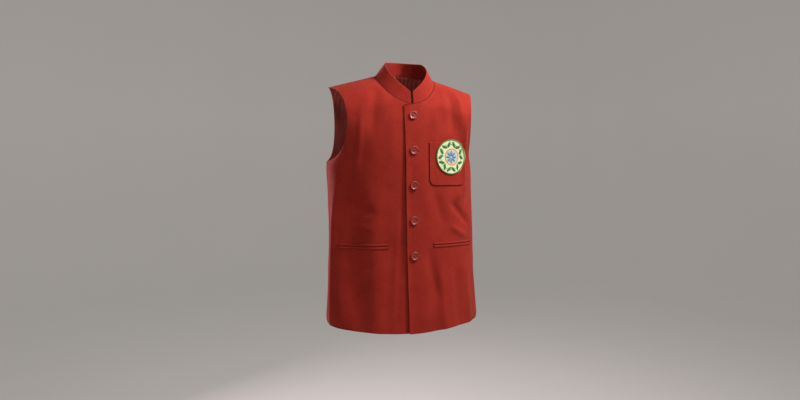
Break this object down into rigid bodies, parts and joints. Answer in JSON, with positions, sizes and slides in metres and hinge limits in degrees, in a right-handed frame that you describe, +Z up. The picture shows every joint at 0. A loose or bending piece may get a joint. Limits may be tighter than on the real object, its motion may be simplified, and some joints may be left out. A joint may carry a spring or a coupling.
{
  "type": "nehru jacket",
  "caption": "Sleeveless nehru jacket in brick red slubbed cloth, with a band collar, glossy red buttons, a patch chest pocket with a round badge and two jetted hip pockets.",
  "frame": {"origin": "On the median plane, midway between the neck ends of the two shoulder seams, where a wearer's shoulders or a bust hold the jacket up", "axes": "+Z up along the body, -Y to the front, +X to the wearer's left"},
  "size_m": [0.4388, 0.2837, 0.7432],
  "materials": {
    "cloth": "matte brick red plain weave with fine level slubs",
    "lining": "smooth brownish maroon lining cloth with a low sheen",
    "button": "glossy moulded resin of the cloth's red",
    "badge": "twill ground with raised embroidery and an overlocked green edge"
  },
  "bodies": {
    "root": {"front_left": "cloth", "front_right": "cloth", "back": "cloth", "collar": "cloth", "lining_back": "lining", "chest_pocket": "cloth", "badge": "badge", "hip_pocket_left_upper": "cloth", "hip_pocket_left_lower": "cloth", "hip_pocket_right_upper": "cloth", "hip_pocket_right_lower": "cloth", "button_1": "button", "button_2": "button", "button_3": "button", "button_4": "button", "button_5": "button"}
  },
  "joints": []
}
